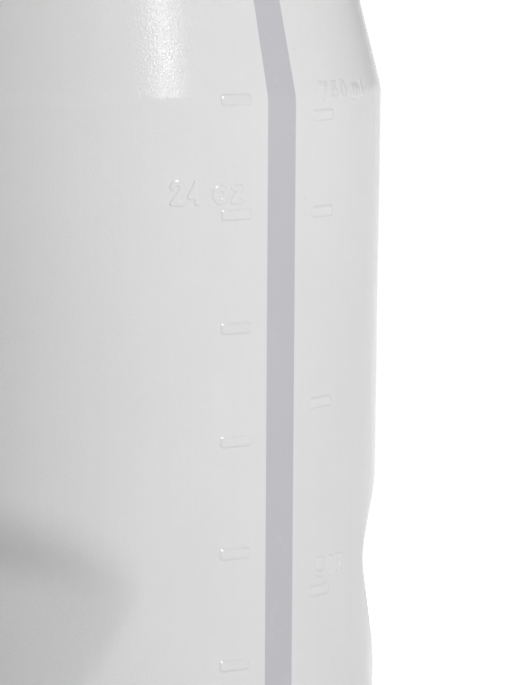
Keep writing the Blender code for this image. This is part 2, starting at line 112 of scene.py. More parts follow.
MILLILITRE_TOP_Z = CREASE_Z - 2.86 * MM

# Thread
PITCH = 6.0 * MM
THREAD_HEIGHT = 1.5 * MM
NECK_THREAD_Z = NECK_TOP - 13.5 * MM
NECK_THREAD_TURNS = 1.5
THREAD_OFFSET = 2.3 * MM
COLLAR_THREAD_START = 120.0
COLLAR_THREAD_TURNS = 1.25

# Camera
CAMERA_AZIMUTH = 51.8
CAMERA_DISTANCE = 505.9 * MM
CAMERA_ABOVE_CREASE = 27.6 * MM
CAMERA_YAW = 2.398
CAMERA_PITCH = 6.937
LENS = 202.4


# Studio: white floor beyond a dim middle, dim room above a white horizon
FLOOR_COLOUR = (0.80, 0.80, 0.80)
FLOOR_DIM_RADIUS = 0.10
FLOOR_WHITE_RADIUS = 0.50
FLOOR_GLOW = 1.0
FLOOR_FRONT = 0.05
FLOOR_FAR_RADII = (1.2, 3.0)     # the front floor turns white again between these
HORIZON_GLOW = 1.0
WORLD_LEVEL = 0.05

# Soft boxes: azimuth from the camera, elevation, distance, width, height (m) and power (W)
SOFT_BOXES = (
    ("key", 29.5, 25.5, 1.9, 0.25, 0.46, 26.2),
    ("back", 190.0, 35.0, 1.8, 1.8, 1.2, 8.0),
)


# ---------------------------------------------------------------- mesh helpers

def smooth(share):
    share = np.clip(share, 0.0, 1.0)
    return share * share * (3.0 - 2.0 * share)


def object_from(name, mesh_data, finish):
    """Link a bmesh as a smooth-shaded object with one material."""
    bmesh.ops.recalc_face_normals(mesh_data, faces=mesh_data.faces)
    mesh = bpy.data.meshes.new(name)
    mesh_data.to_mesh(mesh)
    mesh_data.free()
    mesh.shade_smooth()
    mesh.set_sharp_from_angle(angle=math.radians(42.0))
    mesh.materials.append(finish)
    item = bpy.data.objects.new(name, mesh)
    bpy.context.scene.collection.objects.link(item)
    return item


def join_rings(mesh, lower, upper):
    count = max(len(lower), len(upper))
    for index in range(count):
        after = (index + 1) % count
        if len(lower) == 1:
            mesh.faces.new((lower[0], upper[index], upper[after]))
        elif len(upper) == 1:
            mesh.faces.new((lower[index], lower[after], upper[0]))
        else:
            mesh.faces.new((lower[index], lower[after], upper[after], upper[index]))


def turned(profile, angles, closed, shape=None):
    """Turn (radius, z) points about the Z axis; shape(angle, radius, z) may change a radius."""
    mesh = bmesh.new()
    rings = []
    for radius, z in profile:
        if radius == 0.0:
            rings.append([mesh.verts.new((0.0, 0.0, z))])
            continue
        ring = []
        for angle in angles:
            r = shape(angle, radius, z) if shape else radius
            ring.append(mesh.verts.new((r * math.cos(angle), r * math.sin(angle), z)))
        rings.append(ring)
    followers = rings[1:] + ([rings[0]] if closed else [])
    for lower, upper in zip(rings, followers):
        join_rings(mesh, lower, upper)
    return mesh


def even_angles(count):
    return [2.0 * math.pi * index / count for index in range(count)]


def arc(centre, radius, start, end, steps):
    """Points of an arc, angles in degrees from the +r direction towards +z."""
    turns = [math.radians(start + (end - start) * index / steps) for index in range(steps + 1)]
    return [(centre[0] + radius * math.cos(t), centre[1] + radius * math.sin(t)) for t in turns]


def bezier(start, lead, trail, end, steps):
    points = []
    for index in range(steps + 1):
        t = index / steps
        weights = ((1 - t) ** 3, 3 * t * (1 - t) ** 2, 3 * t * t * (1 - t), t ** 3)
        corners = (start, lead, trail, end)
        points.append(tuple(sum(w * c[axis] for w, c in zip(weights, corners)) for axis in (0, 1)))
    return points


def spread(low, high, step):
    """Heights from low up to high, both left out, about one step apart."""
    count = max(1, round((high - low) / step))
    return [low + (high - low) * index / count for index in range(1, count)]


# ---------------------------------------------------------------- node helpers

def new_material(name):
    made = bpy.data.materials.new(name)
    made.use_nodes = True
    return made, made.node_tree, made.node_tree.nodes["Principled BSDF"]


def node(tree, kind, inputs=None, **settings):
    made = tree.nodes.new(kind)
    for key, value in settings.items():
        setattr(made, key, value)
    for key, value in (inputs or {}).items():
        made.inputs[key].default_value = value
    return made


def stretched(tree, scale):
    """Object coordinates multiplied by a scale along each axis."""
    coordinates = node(tree, "ShaderNodeTexCoord")
    mapping = node(tree, "ShaderNodeMapping", {"Scale": scale})
    tree.links.new(coordinates.outputs["Object"], mapping.inputs["Vector"])
    return mapping.outputs["Vector"]


def noise(tree, scale, detail=3.0, roughness=0.5):
    made = node(tree, "ShaderNodeTexNoise",
                {"Scale": 1.0, "Detail": detail, "Roughness": roughness})
    tree.links.new(stretched(tree, scale), made.inputs["Vector"])
    return made.outputs["Fac"]


def ranged(tree, value, low, high, to_low, to_high):
    made = node(tree, "ShaderNodeMapRange", {"From Min": low, "From Max": high,
                                             "To Min": to_low, "To Max": to_high})
    tree.links.new(value, made.inputs["Value"])
    return made.outputs["Result"]


def multiplied(tree, first, second):
    made = node(tree, "ShaderNodeMath", operation="MULTIPLY")
    tree.links.new(first, made.inputs[0])
    tree.links.new(second, made.inputs[1])
    return made.outputs["Value"]


def mixed(tree, factor, first, second):
    """Colour mix; first and second are colours or sockets."""
    made = node(tree, "ShaderNodeMix", data_type="RGBA")
    tree.links.new(factor, made.inputs["Factor"])
    for name, value in (("A", first), ("B", second)):
        socket = [s for s in made.inputs if s.name == name and s.type == "RGBA"][0]
        if hasattr(value, "links"):
            tree.links.new(value, socket)
        else:
            socket.default_value = (*value, 1.0)
    return [s for s in made.outputs if s.type == "RGBA"][0]


def bumped(tree, layers):
    """Chain of bump nodes, one for each (height socket, strength, distance)."""
    normal = None
    for height, strength, distance in layers:
        made = node(tree, "ShaderNodeBump", {"Strength": strength, "Distance": distance})
        tree.links.new(height, made.inputs["Height"])
        if normal:
            tree.links.new(normal, made.inputs["Normal"])
        normal = made.outputs["Normal"]
    return normal


def specks(tree, spacing, radius):
    """1 on rare small dots, 0 elsewhere."""
    scale = 1.0 / spacing
    made = node(tree, "ShaderNodeTexVoronoi", {"Scale": 1.0, "Randomness": 1.0})
    tree.links.new(stretched(tree, (scale, scale, scale)), made.inputs["Vector"])
    near = radius / spacing
    return ranged(tree, made.outputs["Distance"], near * 0.6, near, 1.0, 0.0)


def scaled(colour, factor):
    return tuple(min(1.0, channel * factor) for channel in colour)


# ---------------------------------------------------------------- materials

def polyethylene(name, colour, roughness, gloss, dust=0.35):
    """Satin blow-moulded plastic: fine grain, faint lines along the draw, rare dark specks."""
    made, tree, shader = new_material(name)
    mottle = noise(tree, (70.0, 70.0, 45.0), 4.0, 0.55)
    tone = mixed(tree, ranged(tree, mottle, 0.3, 0.7, 0.0, 1.0),
                 scaled(colour, 0.985), scaled(colour, 1.012))
    lines = noise(tree, (900.0, 900.0, 9.0), 3.0, 0.6)
    tone = mixed(tree, ranged(tree, lines, 0.45, 0.8, 0.0, 0.35), tone, scaled(colour, 0.97))
    dots = specks(tree, 7.0 * MM, 0.13 * MM)
    faded = ranged(tree, dots, 0.0, 1.0, 0.0, dust)
    tone = mixed(tree, faded, tone, scaled(colour, 0.2))
    tree.links.new(tone, shader.inputs["Base Color"])
    grain = noise(tree, (3600.0, 3600.0, 3600.0), 1.0, 0.5)
    peel = noise(tree, (420.0, 420.0, 300.0), 2.0, 0.5)
    rough = ranged(tree, peel, 0.3, 0.7, roughness - 0.03, roughness + 0.03)
    tree.links.new(rough, shader.inputs["Roughness"])
    normal = bumped(tree, [(grain, 0.5, 0.05 * MM), (peel, 0.02, 0.1 * MM),
                           (lines, 0.02, 0.05 * MM)])
    tree.links.new(normal, shader.inputs["Normal"])
    shader.inputs["Specular IOR Level"].default_value = gloss
    return made


def polypropylene(name, colour, roughness, grain_strength=0.25):
    """Injection-moulded plastic with an etched grain, lighter in patches on its convex high spots.
    """
    made, tree, shader = new_material(name)
    mottle = noise(tree, (120.0, 120.0, 120.0), 4.0, 0.6)
    tone = mixed(tree, ranged(tree, mottle, 0.3, 0.7, 0.0, 1.0),
                 scaled(colour, 0.94), scaled(colour, 1.04))
    geometry = node(tree, "ShaderNodeNewGeometry")
    # lighter in patches where the mesh is convex, taken from its pointiness
    convex_lightening = ranged(tree, geometry.outputs["Pointiness"], 0.53, 0.62, 0.0, 0.5)
    patchy_convex_lightening = multiplied(tree, convex_lightening, ranged(tree, mottle, 0.35, 0.65, 0.2, 1.0))
    lighter = tuple(channel + (1.0 - channel) * 0.25 for channel in colour)
    tree.links.new(mixed(tree, patchy_convex_lightening, tone, lighter), shader.inputs["Base Color"])
    grain = noise(tree, (3200.0, 3200.0, 3200.0), 3.0, 0.6)
    scuffs = noise(tree, (300.0, 300.0, 1500.0), 5.0, 0.7)
    rough = ranged(tree, scuffs, 0.3, 0.75, roughness - 0.05, roughness + 0.12)
    tree.links.new(rough, shader.inputs["Roughness"])
    normal = bumped(tree, [(grain, grain_strength, 0.08 * MM), (scuffs, 0.04, 0.1 * MM)])
    tree.links.new(normal, shader.inputs["Normal"])
    return made


def rubber(name, colour, roughness):
    """Moulded rubber: cloudy colour, pale bloom in places, fine pitted skin."""
    made, tree, shader = new_material(name)
    cloud = noise(tree, (55.0, 55.0, 40.0), 5.0, 0.6)
    tone = mixed(tree, ranged(tree, cloud, 0.3, 0.7, 0.0, 1.0),
                 scaled(colour, 0.82), scaled(colour, 1.15))
    haze = noise(tree, (160.0, 160.0, 90.0), 6.0, 0.65)
    bloom = tuple(channel * 0.7 + 0.3 * 0.45 for channel in colour)
    tone = mixed(tree, ranged(tree, haze, 0.55, 0.8, 0.0, 0.35), tone, bloom)
    tree.links.new(tone, shader.inputs["Base Color"])
    rough = ranged(tree, haze, 0.3, 0.75, roughness - 0.06, roughness + 0.14)
    tree.links.new(rough, shader.inputs["Roughness"])
    pits = noise(tree, (2200.0, 2200.0, 2200.0), 3.0, 0.6)
    waves = noise(tree, (240.0, 240.0, 160.0), 2.0, 0.5)
    normal = bumped(tree, [(pits, 0.18, 0.06 * MM), (waves, 0.10, 0.15 * MM)])
    tree.links.new(normal, shader.inputs["Normal"])
    return made


def steel(name, colour, roughness):
    """Polished steel with fine handling marks."""
    made, tree, shader = new_material(name)
    haze = noise(tree, (900.0, 900.0, 900.0), 4.0, 0.6)
    tone = mixed(tree, ranged(tree, haze, 0.3, 0.7, 0.0, 1.0),
                 scaled(colour, 0.92), scaled(colour, 1.05))
    tree.links.new(tone, shader.inputs["Base Color"])
    rough = ranged(tree, haze, 0.3, 0.7, roughness * 0.7, roughness * 1.4)
    tree.links.new(rough, shader.inputs["Roughness"])
    shader.inputs["Metallic"].default_value = 1.0
    return made


# ---------------------------------------------------------------- bottle shape

def wall_radius(z):
    """Outer radius of wall and shoulder, the crease between them slightly rounded."""
    wall = CREASE_RADIUS + WALL_DRAFT * (z - CREASE_Z)
    shoulder = CREASE_RADIUS - SHOULDER_SLOPE * (z - CREASE_Z)
    overlap = np.maximum(CREASE_BLEND - np.abs(wall - shoulder), 0.0) / CREASE_BLEND
    return np.minimum(wall, shoulder) - overlap ** 2 * CREASE_BLEND / 4.0


def dent_depth(angle, z):
    """Depth of the two grip dents: a steep upper face, a fold, and a long gentle lower face."""
    turn = np.degrees(np.arctan2(np.sin(angle), np.cos(angle)))
    away = np.abs(np.abs(turn) - 90.0) / DENT_HALF_ANGLE
    share = np.minimum(away, 0.9999)
    fold = DENT_VALLEY - DENT_DROOP * share ** 2
    top = np.maximum(DENT_VALLEY + DENT_RISE * np.sqrt(1.0 - share ** 2), fold + 0.3 * MM)
    corner = DENT_LOWER_CORNER
    bottom = DENT_VALLEY - DENT_FALL * (1.0 - share ** corner) ** (1.0 / corner)
    bottom = np.minimum(bottom, fold - 0.3 * MM)
    upper = np.clip((top - z) / (top - fold), 1e-6, None) ** DENT_UPPER_POWER
    lower = np.clip((z - bottom) / (fold - bottom), 1e-6, None) ** DENT_LOWER_POWER
    meeting = upper * lower / np.hypot(upper, lower)
    ends = (1.0 - share ** DENT_END[0]) ** DENT_END[1]
    inside = (z < top) & (z > bottom) & (away < 1.0)
    return np.where(inside, DENT_DEPTH * ends * meeting, 0.0)


def seam_height(angle):
    """Fine parting line of the mould down the middle of each dent side."""
    turn = math.degrees(math.atan2(math.sin(angle), math.cos(angle)))
    away = abs(abs(turn) - 90.0)
    return SEAM_HEIGHT * float(smooth(1.0 - away / 0.35))


def on_wall(angle, z, lift):
    """Points that stand a lift above the outer wall."""
    radius = wall_radius(z) - dent_depth(angle, z) + lift
    return radius * np.cos(angle), radius * np.sin(angle), z


def shell_angles():
    """Even steps round the bottle, with extra ones beside the parting lines."""
    steps = list(np.arange(0.0, 360.0, 1.25))
    for middle in (90.0, 270.0):
        steps += [middle + offset for offset in (-0.35, -0.18, 0.18, 0.35)]
    return [math.radians(step) for step in sorted(set(steps))]


def shell_heights():
    low = DENT_VALLEY - DENT_FALL
    middle = DENT_VALLEY - DENT_DROOP
    high = DENT_VALLEY + DENT_RISE
    beside_crease = [CREASE_Z + step * 0.2 * MM for step in range(-5, 6)]
    heights = [HEEL_RADIUS, *spread(HEEL_RADIUS, low, 8.0 * MM), low]
    heights += [*spread(low, middle, 1.4 * MM), middle, *spread(middle, high, 0.5 * MM), high]
    heights += spread(high, beside_crease[0], 8.0 * MM) + beside_crease
    return heights + [*spread(beside_crease[-1], SHOULDER_TOP, 6.0 * MM), SHOULDER_TOP]


def shell_outer():
    heel_centre = (float(wall_radius(HEEL_RADIUS)) - HEEL_RADIUS, HEEL_RADIUS)
    push_up = [(0.0, PUSH_UP)] + [(r * MM, PUSH_UP * (1.0 - 0.2 * (r / 22.0) ** 2))
                                  for r in (4.0, 9.0, 14.0, 18.0, 22.0)]
    roll = bezier((PUSH_UP_RADIUS + 1.2 * MM, PUSH_UP * 0.72), (25.5 * MM, PUSH_UP * 0.4),
                  (25.6 * MM, 0.1 * MM), (FOOT_INNER + 0.6 * MM, 0.0), 7)
    heel = arc(heel_centre, HEEL_RADIUS, -90.0, 0.0, 12)[:-1]
    wall = [(float(wall_radius(z)), z) for z in shell_heights()]
    top = float(wall_radius(SHOULDER_TOP))
    round_over = bezier((top, SHOULDER_TOP), (top - 1.1 * MM, SHOULDER_TOP + 4.6 * MM),
                        (top - 3.0 * MM, NECK_ROOT - 0.4 * MM),
                        (NECK_RADIUS + 1.0 * MM, NECK_ROOT), 12)[1:]
    fillet = arc((NECK_RADIUS + 1.0 * MM, NECK_ROOT + 1.0 * MM), 1.0 * MM, -90.0, -180.0, 5)[1:]
    lip = arc((NECK_RADIUS - 0.5 * MM, NECK_TOP - 0.5 * MM), 0.5 * MM, 0.0, 90.0, 4)
    return push_up + roll + heel + wall + round_over + fillet + lip


def shell_inner():
    top = float(wall_radius(SHOULDER_TOP)) - WALL
    lip = arc((NECK_BORE + 0.4 * MM, NECK_TOP - 0.4 * MM), 0.4 * MM, 90.0, 180.0, 3)
    neck = [(NECK_BORE, NECK_ROOT - 1.0 * MM), (top - 3.8 * MM, NECK_ROOT - 1.6 * MM),
            (top - 1.2 * MM, SHOULDER_TOP + 3.4 * MM), (top, SHOULDER_TOP)]
    heights = shell_heights()[:-1][::-3]
    wall = [(float(wall_radius(z)) - WALL, z) for z in heights]
    heel_centre = (float(wall_radius(HEEL_RADIUS)) - HEEL_RADIUS, HEEL_RADIUS)
    heel = arc(heel_centre, HEEL_RADIUS - WALL, 0.0, -90.0, 6)
    floor = [(FOOT_INNER + 1.0 * MM, WALL), (PUSH_UP_RADIUS, PUSH_UP * 0.8 + WALL * 1.3),
             (0.0, PUSH_UP + WALL * 1.5)]
    return lip + neck + wall + heel + floor


def shell_shape(angle, radius, z):
    """Dents through the whole wall, and the parting line on the outside of the body."""
    shaped = radius - float(dent_depth(angle, z))
    outside = radius > wall_radius(z) - 0.5 * WALL
    if outside and HEEL_RADIUS <= z <= SHOULDER_TOP:
        shaped += seam_height(angle)
    return shaped


def make_shell(finish):
    mesh = turned(shell_outer() + shell_inner(), shell_angles(), False, shell_shape)
    return object_from("bottle_shell", mesh, finish)


def grid_solid(name, points, depth, finish):
    """Closed solid from a grid of surface points, thickened inwards. points is (rows, cols, 3)."""
    rows, columns = points.shape[:2]
    mesh = bmesh.new()
    across = points[0, -1] - points[0, 0]
    top = [[mesh.verts.new(points[i, j]) for j in range(columns)] for i in range(rows)]
    inward = -points[rows // 2, columns // 2] * np.array((1.0, 1.0, 0.0))
    inward = inward / np.linalg.norm(inward) * depth
    bottom = [[mesh.verts.new(points[i, j] + inward) for j in range(columns)]
              for i in range(rows)]
    for i in range(rows - 1):
        for j in range(columns - 1):
            mesh.faces.new((top[i][j], top[i][j + 1], top[i + 1][j + 1], top[i + 1][j]))
            mesh.faces.new((bottom[i][j], bottom[i + 1][j], bottom[i + 1][j + 1],
                            bottom[i][j + 1]))
    edge = [(i, 0) for i in range(rows)] + [(rows - 1, j) for j in range(1, columns)]
    edge += [(i, columns - 1) for i in range(rows - 2, -1, -1)]
    edge += [(0, j) for j in range(columns - 2, 0, -1)]
    for (i, j), (k, m) in zip(edge, edge[1:] + edge[:1]):
        mesh.faces.new((top[i][j], top[k][m], bottom[k][m], bottom[i][j]))
    return object_from(name, mesh, finish)


def make_strip(finish):
    """Grey stripe, flush with the wall, from the heel to the shoulder's top."""
    heights = np.array([HEEL_RADIUS + 0.5 * MM] + shell_heights()[1:])
    angles = np.radians(np.linspace(-STRIP_HALF_ANGLE, STRIP_HALF_ANGLE, 7))
    grid_angle, grid_z = np.meshgrid(angles, heights)
    x, y, z = on_wall(grid_angle, grid_z, 0.015 * MM)
    return grid_solid("sight_strip_inlay", np.stack([x, y, z], -1), 0.7 * MM, finish)


# ---------------------------------------------------------------- embossed scales

def ring_stroke(centre_x, centre_y, radius_x, radius_y, start=0.0, end=360.0):
    turns = np.radians(np.linspace(start, end, 25))
    return [(centre_x + radius_x * math.cos(t), centre_y + radius_y * math.sin(t)) for t in turns]


def glyph(letter):
    """Strokes of a plain rounded letter in units of its height, and its width."""
    shapes = {
        "0": ([ring_stroke(0.25, 0.5, 0.25, 0.5)], 0.50),
        "1": ([[(0.05, 0.80), (0.22, 1.0), (0.22, 0.0)]], 0.30),
        "2": ([ring_stroke(0.25, 0.74, 0.24, 0.26, 170.0, -35.0) + [(0.0, 0.0), (0.50, 0.0)]],
              0.50),
        "4": ([[(0.36, 0.0), (0.36, 1.0), (0.0, 0.30), (0.48, 0.30)]], 0.48),
        "5": ([[(0.46, 1.0), (0.09, 1.0), (0.05, 0.56)]
               + ring_stroke(0.23, 0.32, 0.26, 0.32, 130.0, -145.0)], 0.50),
        "7": ([[(0.0, 1.0), (0.50, 1.0), (0.17, 0.0)]], 0.50),
        "o": ([ring_stroke(0.30, 0.35, 0.30, 0.35)], 0.60),
        "z": ([[(0.0, 0.68), (0.40, 0.68), (0.0, 0.0), (0.42, 0.0)]], 0.42),
        "m": ([[(0.0, 0.0), (0.0, 0.68)],
               ring_stroke(0.19, 0.46, 0.19, 0.22, 180.0, 0.0) + [(0.38, 0.0)],
               ring_stroke(0.57, 0.46, 0.19, 0.22, 180.0, 0.0) + [(0.76, 0.0)]], 0.76),
        "l": ([[(0.04, 0.0), (0.04, 1.0)]], 0.08),
        " ": ([], 0.0),
    }
    return shapes[letter]


def word_strokes(word, letter_size):
    """Strokes of a word in metres and the word's width."""
    across, height = letter_size
    strokes = []
    cursor = 0.0
    for letter in word:
        shapes, width = glyph(letter)
        strokes += [[((cursor + x) * across, y * height) for x, y in line] for line in shapes]
        cursor += width + LETTER_GAP
    return strokes, (cursor - LETTER_GAP) * across


def distance_to_strokes(u, v, strokes):
    best = np.full(u.shape, 1.0)
    for line in strokes:
        for (ax, ay), (bx, by) in zip(line, line[1:]):
            length = max((bx - ax) ** 2 + (by - ay) ** 2, 1e-12)
            share = np.clip(((u - ax) * (bx - ax) + (v - ay) * (by - ay)) / length, 0.0, 1.0)
            away = np.hypot(u - ax - share * (bx - ax), v - ay - share * (by - ay))
            best = np.minimum(best, away)
    return best


def embossed(name, middle_degrees, bottom_z, size, distance, bevel, step, finish):
    """Raised shape on the wall. distance(u, v) is 0 inside the shape's flat top."""
    width, height = size
    blend, raised = bevel
    margin = blend + 0.15 * MM
    u = np.arange(-margin, width + margin + step, step)
    v = np.arange(-margin, height + margin + step, step)
    grid_u, grid_v = np.meshgrid(u, v)
    rise = smooth(1.0 - distance(grid_u, grid_v) / blend)
    lift = -SUNK + (raised + SUNK) * rise
    angle = math.radians(middle_degrees) + (grid_u - width / 2.0) / CREASE_RADIUS
    x, y, z = on_wall(angle, bottom_z + grid_v, lift)
    return grid_solid(name, np.stack([x, y, z], -1), 0.5 * MM, finish)


def make_mark(name, middle_degrees, bottom_z, finish):
    """Rounded bar of one graduation."""
    corner = 0.25 * MM

    def distance(u, v):
        away_u = np.maximum(np.abs(u - MARK_WIDTH / 2.0) - MARK_WIDTH / 2.0 + corner, 0.0)
        away_v = np.maximum(np.abs(v - MARK_HEIGHT / 2.0) - MARK_HEIGHT / 2.0 + corner, 0.0)
        return np.maximum(np.hypot(away_u, away_v) - corner, 0.0)

    return embossed(name, middle_degrees, bottom_z, (MARK_WIDTH, MARK_HEIGHT), distance,
                    (MARK_BLEND, MARK_RAISE), 0.12 * MM, finish)


def make_label(name, word, letter_size, start_degrees, bottom_z, finish):
    """Embossed number, its left edge at an angle from the strip's middle."""
    strokes, width = word_strokes(word, letter_size)

    def distance(u, v):
        return np.maximum(distance_to_strokes(u, v, strokes) - STROKE_HALF_WIDTH, 0.0)

    middle = start_degrees + math.degrees(width / 2.0 / CREASE_RADIUS)
    return embossed(name, middle, bottom_z, (width, letter_size[1]), distance,
                    (LETTER_BLEND, LETTER_RAISE), 0.09 * MM, finish)


def make_scales(finish):
    """Bars left of the strip every 2 oz, right of it every 100 ml and at each labelled volume."""
    made = []
    for ounces in range(2, OUNCE_TOP + 1, 2):
        z = OUNCE_TOP_Z - OUNCE_STEP * (OUNCE_TOP - ounces) / 2
        made.append(make_mark("mark_%02d_oz" % ounces, OUNCE_ANGLE, z, finish))
    for millilitres in sorted({*range(100, MILLILITRE_TOP, 100), *LABELLED_MILLILITRES}):
        z = MILLILITRE_TOP_Z - MILLILITRE_STEP * (MILLILITRE_TOP - millilitres) / 50
        made.append(make_mark("mark_%03d_ml" % millilitres, MILLILITRE_ANGLE, z, finish))
    for ounces in LABELLED_OUNCES:
        z = OUNCE_TOP_Z - OUNCE_STEP * (OUNCE_TOP - ounces) / 2 + MARK_HEIGHT + 1.15 * MM
        made.append(make_label("label_%02d_oz" % ounces, "%d oz" % ounces, OUNCE_LETTER, -23.75,
                               z, finish))
    for millilitres in LABELLED_MILLILITRES:
        word = "%d ml" % millilitres if millilitres == MILLILITRE_TOP else str(millilitres)
        z = MILLILITRE_TOP_Z - MILLILITRE_STEP * (MILLILITRE_TOP - millilitres) / 50
        made.append(make_label("label_%03d_ml" % millilitres, word, MILLILITRE_LETTER, 10.9,
                               z + MARK_HEIGHT + 1.5 * MM, finish))
    return made


# ---------------------------------------------------------------- threads

def helical_ridge(name, wall, outward, z, turns, start_degrees, finish):
    """Rounded trapezoid ridge on a wall, its ends run out into the wall."""
    side = 1.0 if outward else -1.0
    steps = int(turns * 72)
    run_out = 8
    section = [(-0.4, -1.45), (0.0, -1.30), (0.55, -0.98), (0.88, -0.78), (1.0, -0.50),
               (1.0, 0.50), (0.88, 0.78), (0.55, 0.98), (0.0, 1.30), (-0.4, 1.45)]
    mesh = bmesh.new()
    rings = []
    for index in range(steps + 1):
        angle = math.radians(start_degrees) + 2.0 * math.pi * turns * index / steps
        height = z + PITCH * turns * index / steps
        grown = float(smooth(min(1.0, index / run_out, (steps - index) / run_out)))
        ring = []
        for share, dz in section:
            reach = share * grown - 0.1 * (1.0 - grown)
            radius = wall + side * THREAD_HEIGHT * reach
            ring.append(mesh.verts.new((radius * math.cos(angle), radius * math.sin(angle),
                                        height + dz * MM)))
        rings.append(ring)
    for lower, upper in zip(rings, rings[1:]):
        join_rings(mesh, lower, upper)
    mesh.faces.new(rings[0])
    mesh.faces.new(rings[-1])
    return object_from(name, mesh, finish)


# ---------------------------------------------------------------- teat

TEAT_WALL = 3.2 * MM
TEAT_THROAT = 18.4 * MM
FLANGE_TOP = TEAT_LOW.z + 3.0 * MM
TEAT_LENGTH = TEAT_HIGH.z - FLANGE_TOP


def teat_radius(height):
    """Outer radius at a height above the flange: bell foot, slim shaft, bulb and round tip."""
    foot = (TEAT_THROAT - 12.6 * MM) / (1.0 + (height / (17.0 * MM)) ** 3)
    bulb = 1.2 * MM * math.exp(-((height - 63.0 * MM) / (12.0 * MM)) ** 2)
    body = 12.6 * MM + foot + bulb
    tip = TEAT_LENGTH - 12.0 * MM
    if height <= tip:
        return body
    share = min(1.0, (height - tip) / (12.0 * MM))
    return body * math.sqrt(max(0.0, 1.0 - share ** 2.4))


def teat_rings(height):
    """Three soft rings moulded round the foot of the shank."""
    total = 0.0
    for middle in (19.0, 22.5, 26.0):
        total += 0.35 * MM * math.exp(-((height - middle * MM) / (0.8 * MM)) ** 2)
    return total


def make_teat(finish):
    base = FLANGE_TOP
    tip_start = TEAT_LENGTH - 12.0 * MM
    heights = [0.6 * MM * step for step in range(2, int(tip_start / (0.6 * MM)))]
    heights += [tip_start + 12.0 * MM * math.sin(math.radians(a)) for a in range(2, 89, 3)]
    outer = [(teat_radius(h) + teat_rings(h), base + h) for h in heights]
    inner_heights = [step * 2.0 * MM for step in range(1, 34)]
    inner = [(teat_radius(h) - TEAT_WALL, base + h) for h in inner_heights]
    dome = arc((0.0, inner[-1][1]), inner[-1][0], 8.0, 82.0, 8)
    flange_radius = TEAT_HIGH.x
    bore = TEAT_THROAT - TEAT_WALL
    rim = arc((flange_radius - 0.8 * MM, TEAT_LOW.z + 0.8 * MM), 0.8 * MM, -90.0, 0.0, 4)
    rim += arc((flange_radius - 0.8 * MM, base - 0.8 * MM), 0.8 * MM, 0.0, 90.0, 4)
    profile = [(0.0, dome[-1][1] + 0.1 * MM), *reversed(dome), *reversed(inner), (bore, base),
               (bore, TEAT_LOW.z), *rim, (TEAT_THROAT + 0.6 * MM, base),
               (TEAT_THROAT + 0.1 * MM, base + 0.5 * MM), *outer, (0.0, base + TEAT_LENGTH)]
    teat = object_from("rubber_teat", turned(profile, even_angles(128), False), finish)
    for index, lengths in enumerate(((9.0, 0.35), (0.35, 9.0))):
        cut_slit(teat, "slit_guide_%d" % (index + 1), lengths, base + 70.0 * MM)
    return teat


def cut_slit(teat, name, lengths, low):
    """Cut one leg of the cross through the tip and apply the cut."""
    mesh = bmesh.new()
    bmesh.ops.create_cube(mesh, size=1.0)
    for vertex in mesh.verts:
        vertex.co.x *= lengths[0] * MM
        vertex.co.y *= lengths[1] * MM
        vertex.co.z = low + (vertex.co.z + 0.5) * 20.0 * MM
    data = bpy.data.meshes.new(name)
    mesh.to_mesh(data)
    mesh.free()
    guide = bpy.data.objects.new(name, data)
    bpy.context.scene.collection.objects.link(guide)
    modifier = teat.modifiers.new(name, "BOOLEAN")
    modifier.operation = "DIFFERENCE"
    modifier.object = guide
    apply_modifiers(teat)
    bpy.data.objects.remove(guide, do_unlink=True)


def apply_modifiers(item):
    graph = bpy.context.evaluated_depsgraph_get()
    evaluated = bpy.data.meshes.new_from_object(item.evaluated_get(graph))
    item.modifiers.clear()
    item.data = evaluated


# ---------------------------------------------------------------- collar

COLLAR_BORE = 26.6 * MM
COLLAR_RADIUS = 29.6 * MM
COLLAR_HOLE = 19.0 * MM
COLLAR_ROOF = 2.3 * MM
RIB_COUNT = 48
RIB_HEIGHT = 0.8 * MM


def ribbed(angle, radius, z):
    """Rounded grip ribs that fade out below the top edge and above the bottom band."""
    if radius < COLLAR_RADIUS - 0.05 * MM:
        return radius
    low = COLLAR_LOW.z + 3.0 * MM
    high = COLLAR_HIGH.z - 3.2 * MM
    fade = float(smooth((z - low) / (1.4 * MM)) * smooth((high - z) / (1.4 * MM)))
    wave = 0.5 + 0.5 * math.cos(RIB_COUNT * angle)
    return radius + RIB_HEIGHT * fade * wave ** 0.7


def make_collar(finish):
    low = COLLAR_LOW.z
    high = COLLAR_HIGH.z
    ceiling = high - COLLAR_ROOF
    outer = arc((COLLAR_RADIUS - 0.6 * MM, low + 0.6 * MM), 0.6 * MM, -90.0, 0.0, 4)
    outer += [(COLLAR_RADIUS, z) for z in spread(low + 0.6 * MM, high - 2.0 * MM, 0.5 * MM)]
    outer += arc((COLLAR_RADIUS - 2.0 * MM, high - 2.0 * MM), 2.0 * MM, 0.0, 90.0, 8)
    ring = [(25.0 * MM, high), (24.6 * MM, high - 0.35 * MM), (22.4 * MM, high - 0.35 * MM),
            (22.0 * MM, high)]
    hole = arc((COLLAR_HOLE + 0.6 * MM, high - 0.6 * MM), 0.6 * MM, 90.0, 180.0, 4)
    inside = [(COLLAR_HOLE, ceiling), (COLLAR_BORE, ceiling), (COLLAR_BORE, low + 0.5 * MM),
              (COLLAR_BORE + 0.5 * MM, low)]
    profile = outer + ring + hole + inside
    return object_from("ribbed_collar", turned(profile, even_angles(10 * RIB_COUNT), True, ribbed),
                       finish)


# ---------------------------------------------------------------- stage

